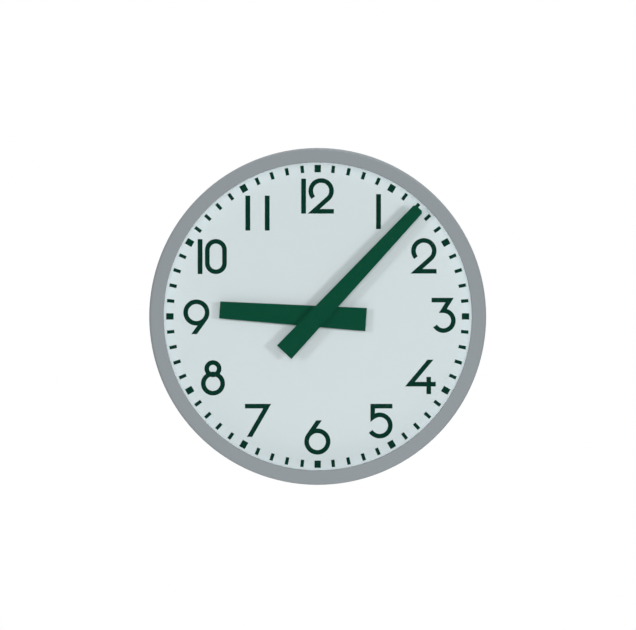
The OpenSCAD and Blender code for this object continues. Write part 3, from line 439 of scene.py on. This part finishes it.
def laminated(name, colour, roughness, sheet):
    """Stacked sheets of one thickness: a dark seam between each two, and its own tone on each."""
    narrowness, seam_rough = 20.0, 0.2
    material, place, shader = start(name, Metallic=1.0)
    depth = place.node("ShaderNodeSeparateXYZ", inputs={"Vector": place}, output="Y")
    wave = (depth * (2 * math.pi / sheet)).math("COSINE")
    seam = (wave * 0.5 + 0.5).math("POWER", narrowness)
    sheets = place.stretched(0.2, 12.0, 0.2).noise(scale=150.0)
    tones = (sheets * (1.0 - seam)).shades(colour, darkest=0.45, lightest=1.4)
    tones.feed(shader, "Base Color")
    (varied(roughness, (sheets, 0.2)) + seam * seam_rough).feed(shader, "Roughness")
    (1.0 - seam).raise_surface(shader, depth=0.00004)
    return material


steel = plated("bright_steel", (0.6, 0.6, 0.61), 0.26, rolling=(1.0, 10.0, 1.0))
iron_sheet = 0.0005
iron = laminated("soft_iron", (0.24, 0.25, 0.27), 0.45, iron_sheet)
dress(brass, "centre_wheel", "intermediate_wheel")
dress(steel, "centre_arbor", "intermediate_arbor", "rotor_arbor")
dress(plated("magnet_grey", (0.1, 0.1, 0.115), 0.5), "rotor_magnet")
dress(iron, "left_pole_piece", "right_pole_piece", "coil_core")
screw_row("pole_screws", depth_axis, "pan", 7)
screw_row("core_screws", Vector((1.0, 0.0, 0.0)), "pan", 11)


# Coil: enamelled copper wire wound in one layer over another on an ivory moulded bobbin.
# Only the outer layer is laid as wire, over a copper body with the bobbin's square hole.

ivory_moulding = moulded("ivory_moulding", (0.66, 0.6, 0.46), 0.5)
dress(ivory_moulding, "coil_bobbin", "terminal_block")
dress(moulded("red_sleeve", linear(150, 24, 20), 0.45), "coil_leads")
copper = turned("copper_wire", (0.55, 0.2, 0.08), 0.3, grain=2600.0)
wire_r = 0.00018
wire_sides = 6
points_a_turn = 32
body_sides = 64
coil_low, coil_high = (Vector(c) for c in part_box("coil_winding"))
coil_length = coil_high.x - coil_low.x
coil_r = (coil_high.y - coil_low.y) / 2
hole_half = 0.00405
coil_middle = (coil_low + coil_high) / 2

body_mesh = bmesh.new()
loops = []
for x in (coil_low.x, coil_high.x):
    for inside in (False, True):
        loop = []
        for k in range(body_sides):
            angle = 2 * math.pi * k / body_sides
            c, s = math.cos(angle), math.sin(angle)
            out = hole_half / max(abs(c), abs(s)) if inside else coil_r - wire_r
            loop.append(body_mesh.verts.new((x, coil_middle.y + out * c, coil_middle.z + out * s)))
        loops.append(loop)
outer_a, inner_a, outer_b, inner_b = loops
for k in range(body_sides):
    n = (k + 1) % body_sides
    body_mesh.faces.new((outer_a[k], outer_a[n], outer_b[n], outer_b[k]))
    body_mesh.faces.new((inner_a[n], inner_a[k], inner_b[k], inner_b[n]))
    body_mesh.faces.new((outer_a[n], outer_a[k], inner_a[k], inner_a[n]))
    body_mesh.faces.new((outer_b[k], outer_b[n], inner_b[n], inner_b[k]))
bmesh.ops.recalc_face_normals(body_mesh, faces=body_mesh.faces)
winding_data = bpy.data.meshes.new("coil_body")
body_mesh.to_mesh(winding_data)
body_mesh.free()

coil_tree, coil = group_inputs("wound_wire", {
    "Geometry": "NodeSocketGeometry", "Turns": "NodeSocketFloat", "Radius": "NodeSocketFloat",
    "Length": "NodeSocketFloat", "Wire Radius": "NodeSocketFloat", "Start": "NodeSocketVector",
    "Material": "NodeSocketMaterial"})
helix = coil["Turns"].node("GeometryNodeCurveSpiral", inputs={
    "Resolution": points_a_turn, "Rotations": coil["Turns"], "Start Radius": coil["Radius"],
    "End Radius": coil["Radius"], "Height": coil["Length"]})
section = coil["Turns"].node("GeometryNodeCurvePrimitiveCircle", inputs={
    "Resolution": wire_sides, "Radius": coil["Wire Radius"]})
wire = helix.node("GeometryNodeCurveToMesh", inputs={
    "Curve": helix, "Profile Curve": section, "Fill Caps": True})
laid = wire.node("GeometryNodeTransform", inputs={
    "Geometry": wire, "Translation": coil["Start"], "Rotation": (0.0, math.pi / 2, 0.0)})
joined = laid.node("GeometryNodeJoinGeometry", inputs={"Geometry": laid})
coil_tree.links.new(coil["Geometry"].socket, joined.socket.node.inputs["Geometry"])
close_group(coil_tree, joined, coil["Material"])
laid_length = coil_length - 2 * wire_r
winding = grown("coil_wound", winding_data, coil_tree, {
    "Turns": laid_length / (2 * wire_r), "Radius": coil_r - wire_r, "Length": laid_length,
    "Wire Radius": wire_r, "Start": (coil_low.x + wire_r, coil_middle.y, coil_middle.z),
    "Material": copper})
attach(winding, "case")
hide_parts("coil_winding")


# Terminals: two brass sleeves in a moulded block on the rear plate join the coil's leads to the
# impulse line. Each sleeve has two slotted grub screws, and one pan screw holds the block.

dress(brass, "terminal_sleeves")
screw_row("terminal_screws", depth_axis, "grub", 13)
screw_row("block_screw", depth_axis, "pan", 17)


# Motion work under the dial: the cannon pinion drives the minute wheel on its stud,
# and the minute wheel's pinion drives the hour wheel, whose pipe carries the hour hand.
# The black knob on the rear end of the centre arbor sets the hands.

dress(brass, "minute_wheel", "hour_wheel")
dress(steel, "cannon_pinion", "minute_wheel_pinion", "minute_wheel_stud", "stud_clip")
dress(moulded("black_knob", (0.015, 0.015, 0.017), 0.4), "setting_knob")


# Dial, spacer ring and printed marks: pale blue-grey enamel on sheet aluminium,
# with the minute marks and the numerals printed on it in dark green ink.
# Four pan screws hold the dial on clinch nuts in the case.

enamel = painted("dial_enamel", linear(216, 227, 229), 0.6, spread=0.008, peel=0.00001, grain=1500.0,
                 gloss=0.2)
dress(enamel, "dial")
dress(painted("spacer_grey", linear(214, 220, 224), 0.65, spread=0.015, gloss=0.2), "spacer_ring")
ink = moulded("green_ink", linear(0, 51, 38), 0.6, grain=4000.0, depth=0.000004, gloss=0.03)
dress(ink, "minute_track")
dress(zinc, "dial_nuts")
screw_row("dial_screws", depth_axis, "pan", 19)

# The numerals are drawn in millimetres, the digit 1 a little bolder than the rest.
# The ink's height and the dial's face are in metres.
stroke = 4.5
one_stroke = 4.7
digit_height = 34.4
a_metre = 1000
ink_height = 0.00012
face_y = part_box("dial")[0][1]
arc_step = 6.0


def arc(x, z, radius, first, last):
    """Points on an arc from the angle first to last, in degrees, counted from the right."""
    count = max(2, math.ceil(abs(last - first) / arc_step))
    angles = [math.radians(first + (last - first) * i / count) for i in range(count + 1)]
    return [(x + radius * math.cos(a), z + radius * math.sin(a)) for a in angles]


def edges_of(path, closed, end_cut, width):
    """The two edges of a stroke of even width along a path, with mitred corners.

    An end cut is the angle in degrees at which the last end is cut, or None for a square cut.
    """
    points = [Vector(p) for p in path]
    left, right = [], []
    last = len(points) - 1
    for i, point in enumerate(points):
        before = points[i - 1] if i or closed else None
        after = points[(i + 1) % len(points)] if i < last or closed else None
        ways = []
        if before is not None:
            ways.append((point - before).normalized())
        if after is not None:
            ways.append((after - point).normalized())
        middle = (ways[0] + ways[-1]).normalized()
        across = Vector((-middle.y, middle.x))
        if i == last and end_cut is not None:
            cut = math.radians(end_cut)
            across = Vector((math.cos(cut), math.sin(cut)))
        reach = width / 2 / across.dot(Vector((-ways[0].y, ways[0].x)))
        left.append(point + across * reach)
        right.append(point - across * reach)
    return left, right


def ink_solid(name, outline_pairs, closed):
    """A thin slab on the dial between two edges, as an object."""
    left, right = outline_pairs
    mesh = bmesh.new()
    rows = []
    for y in (face_y, face_y - ink_height):
        rows.append([[mesh.verts.new((p.x / a_metre, y, p.y / a_metre)) for p in side]
                     for side in (left, right)])
    (back_left, back_right), (front_left, front_right) = rows
    count = len(left)
    for i in range(count if closed else count - 1):
        k = (i + 1) % count
        mesh.faces.new((front_left[i], front_left[k], front_right[k], front_right[i]))
        mesh.faces.new((back_left[k], back_left[i], back_right[i], back_right[k]))
        mesh.faces.new((front_left[k], front_left[i], back_left[i], back_left[k]))
        mesh.faces.new((front_right[i], front_right[k], back_right[k], back_right[i]))
    if not closed:
        for i in (0, count - 1):
            mesh.faces.new((front_left[i], front_right[i], back_right[i], back_left[i]))
    bmesh.ops.recalc_face_normals(mesh, faces=mesh.faces)
    data = bpy.data.meshes.new(name)
    mesh.to_mesh(data)
    mesh.free()
    return object_of(name, data)


half = stroke / 2
top = digit_height - half

# Each digit is a list of (centre line, closed, end cut), in millimetres from its foot.
digits = {
    "0": [(arc(0, 10.65, 8.45, 180, 360) + arc(0, digit_height - 10.65, 8.45, 0, 180), True, None)],
    "1": [([(0, 0), (0, digit_height)], False, None)],
    "2": [(arc(0, 22.4, 10.2, 221, -48) + [(-7.3, half), (12.5, half)], False, None)],
    "3": [([(-11.7, top), (6.1, top), (-1.8, 19.5)], False, 0),
          (arc(0, 11.9, 9.75, 88, -148), False, None)],
    "4": [([(6.9, 9.8), (-18.5, 9.8), (1.76, 33.9)], False, 0), ([(0, 0), (0, 17)], False, None)],
    "5": [([(12.5, top - 0.4), (-6.85, top - 0.4), (-6.85, 17.9)], False, 41),
          (arc(0, 12.7, 10.5, 127, -147), False, None)],
    "6": [(arc(0, 12.8, 10.6, 0, 354), True, None), ([(-8.47, 19.18), (1.65, 33.7)], False, 0)],
    "7": [([(-12.5, top), (9.4, top), (-8.0, 1.9)], False, 0)],
    "8": [(arc(0, 11.7, 9.5, 0, 354), True, None), (arc(0, 26.3, 6.1, 0, 354), True, None)],
    "9": [(arc(0, 21.7, 10.6, 0, 354), True, None), ([(8.47, 15.3), (-2.3, 0.4)], False, 0)],
}
# Where the foot of each digit stands, in millimetres from the centre of the dial.
numerals = {
    "12": [("1", -13.9, 101.2), ("2", 3.4, 101.2)],
    "1": [("1", 59.9, 86.0)],
    "2": [("2", 104.5, 42.2)],
    "3": [("3", 123.8, -16.1)],
    "4": [("4", 109.3, -76.5)],
    "5": [("5", 61.0, -120.1)],
    "6": [("6", -0.3, -136.0)],
    "7": [("7", -59.1, -120.5)],
    "8": [("8", -103.1, -77.8)],
    "9": [("9", -119.4, -17.9)],
    "10": [("1", -115.8, 41.7), ("0", -100.2, 41.7)],
    "11": [("1", -68.8, 84.5), ("1", -49.7, 84.5)],
}
for number, placed in numerals.items():
    solids = []
    for digit, foot_x, foot_z in placed:
        width = one_stroke if digit == "1" else stroke
        for path, closed, end_cut in digits[digit]:
            moved = [(x + foot_x, z + foot_z) for x, z in path]
            solids.append(ink_solid("stroke", edges_of(moved, closed, end_cut, width), closed))
    numeral = solids[0]
    numeral.name = f"numeral_{number}"
    for other in solids[1:]:
        union = numeral.modifiers.new("union", "BOOLEAN")
        union.operation = "UNION"
        union.solver = "EXACT"
        union.object = other
    shape = bpy.data.meshes.new_from_object(numeral.evaluated_get(bpy.context.evaluated_depsgraph_get()))
    numeral.modifiers.clear()
    numeral.data = shape
    for other in solids[1:]:
        bpy.data.objects.remove(other)
    shape.materials.clear()
    shape.materials.append(ink)
    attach(numeral, "case")


# Hands: tapered aluminium blades in dark green satin paint, each riveted to a brass boss.
# The hour hand rides on the hour pipe and the minute hand on the centre arbor in front of it.

hand_green = painted("hand_green", linear(0, 73, 51), 0.5, spread=0.07, peel=0.00001, grain=1500.0,
                     gloss=0.03)
dress(hand_green, "minute_hand", "hour_hand")
dress(brass, "minute_hand_boss", "hour_hand_boss")


# Gasket and glass: a flat clear disc bedded on a rubber ring and held by the bezel.
# It reflects little when looked at square, and more at a slant; a few faint smears dull it.

dress(black_rubber, "glass_gasket")
square_alpha, slant_alpha, slant_power = 0.003, 0.5, 4.0
clean_rough, smear_rough, smear_grain = 0.02, 0.06, 18.0
clear, clear_place, clear_shader = start("clear_glass", Base_Color=(0.02, 0.03, 0.03, 1.0), Metallic=0.0)
slant = clear_place.node("ShaderNodeLayerWeight", inputs={"Blend": 0.5}, output="Facing")
(slant.math("POWER", slant_power) * slant_alpha + square_alpha).feed(clear_shader, "Alpha")
(clear_place.noise(smear_grain) * smear_rough + clean_rough).feed(clear_shader, "Roughness")
dress(clear, "glass")


# Bezel: a turned aluminium ring in dull grey paint with a very fine skin.
# Three countersunk screws in its side hold it on clinch nuts in the case.

dress(painted("bezel_grey", linear(146, 153, 157), 0.6, spread=0.03, peel=0.000005, gloss=0.12), "bezel")
dress(zinc, "bezel_nuts")
screw_row("bezel_screws", None, "sunk", 23)


# Studio: a pale floor that fades out and is clear from below, and five soft lamps: one on each side,
# one in front, one behind and one above. The world is white where the camera sees it,
# and dimmer as a light.

floor_drop, floor_half = 0.62, 2.2
fade_start, fade_end = 0.4, 1.6
floor_grain, floor_low, floor_high = 3.0, (0.88, 0.88, 0.88, 1.0), (0.92, 0.92, 0.92, 1.0)
floor_mesh = bpy.data.meshes.new("studio_floor")
corners = [(-floor_half, -floor_half), (floor_half, -floor_half), (floor_half, floor_half),
           (-floor_half, floor_half)]
floor_mesh.from_pydata([(x, y, -floor_drop) for x, y in corners], [], [(0, 1, 2, 3)])
floor = object_of("studio_floor", floor_mesh)
floor_material, floor_place, floor_shader = start("floor_white", Roughness=0.9)
floor_place.noise(floor_grain).colour(floor_low, floor_high).feed(floor_shader, "Base Color")
level = floor_place.stretched(1.0, 1.0, 0.0)
distance = level.node("ShaderNodeVectorMath", {"operation": "LENGTH"}, {0: level}, output="Value")
cover = distance.node("ShaderNodeMapRange", {"interpolation_type": "SMOOTHSTEP"}, {
    "Value": distance, "From Min": fade_start, "From Max": fade_end, "To Min": 1.0, "To Max": 0.0})
underside = floor_place.node("ShaderNodeNewGeometry", output="Backfacing")
(cover * (1.0 - underside)).feed(floor_shader, "Alpha")
floor_mesh.materials.append(floor_material)

world = bpy.data.worlds.new("studio_world")
bpy.context.scene.world = world
world.use_nodes = True
nodes = world.node_tree.nodes
seen = Wire(world.node_tree, nodes.new("ShaderNodeLightPath").outputs["Is Camera Ray"])
ambient = 0.22
background = nodes["Background"]
background.inputs["Color"].default_value = (1.0, 1.0, 1.0, 1.0)
(seen * (1.0 - ambient) + ambient).feed(background, "Strength")


def lamp(name, x, y, z, size, power):
    """A square soft lamp that looks at the clock, its place and size in metres and its power in watts."""
    data = bpy.data.lights.new(name, "AREA")
    data.shape = "SQUARE"
    data.size = size
    data.energy = power
    light = bpy.data.objects.new(name, data)
    light.location = (x, y, z)
    light.rotation_euler = (-Vector((x, y, z))).to_track_quat("-Z", "Y").to_euler()
    bpy.context.scene.collection.objects.link(light)


lamp("lamp_left", -2.0, -1.56, 0.4, 0.42, 14.0)
lamp("lamp_right", 2.0, -1.56, 0.1, 0.42, 20.0)
lamp("lamp_front", 0.0, -3.6, 0.3, 1.7, 41.5)
lamp("lamp_back", 0.9, 2.6, 1.2, 3.0, 58.0)
lamp("lamp_top", 0.0, 0.2, 2.3, 1.0, 30.0)

# The rim around the dial casts no shadow from the two side lamps, so that the dial is evenly bright
# up to its edge. The hands cast theirs.
rim = bpy.data.collections.new("rim_without_side_shadow")
for name in ("bezel", "spacer_ring", "glass_gasket"):
    rim.objects.link(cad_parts[name])
for member in rim.collection_objects:
    member.light_linking.link_state = "EXCLUDE"
for name in ("lamp_left", "lamp_right"):
    bpy.data.objects[name].light_linking.blocker_collection = rim

# The camera looks straight at the clock, and its lens and shift frame the ring as the photo does.
frame_width_px, frame_height_px = 636, 630
ring_radius_px = 168.65
ring_centre_px = (317.7, 316.4)
bezel_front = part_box("bezel")
ring_radius = (bezel_front[1][0] - bezel_front[0][0]) / 2
camera_distance = 3.0
sensor = 36.0
camera_data = bpy.data.cameras.new("camera")
camera_data.sensor_width = sensor
camera_data.lens = sensor * ring_radius_px * camera_distance / (ring_radius * frame_width_px)
camera_data.shift_x = (frame_width_px / 2 - ring_centre_px[0]) / frame_width_px
camera_data.shift_y = (ring_centre_px[1] - frame_height_px / 2) / frame_width_px
camera = bpy.data.objects.new("camera", camera_data)
camera.location = (0.0, bezel_front[0][1] - camera_distance, 0.0)
camera.rotation_euler = (math.pi / 2, 0.0, 0.0)
bpy.context.scene.collection.objects.link(camera)
bpy.context.scene.camera = camera
bpy.context.scene.view_settings.view_transform = "Standard"
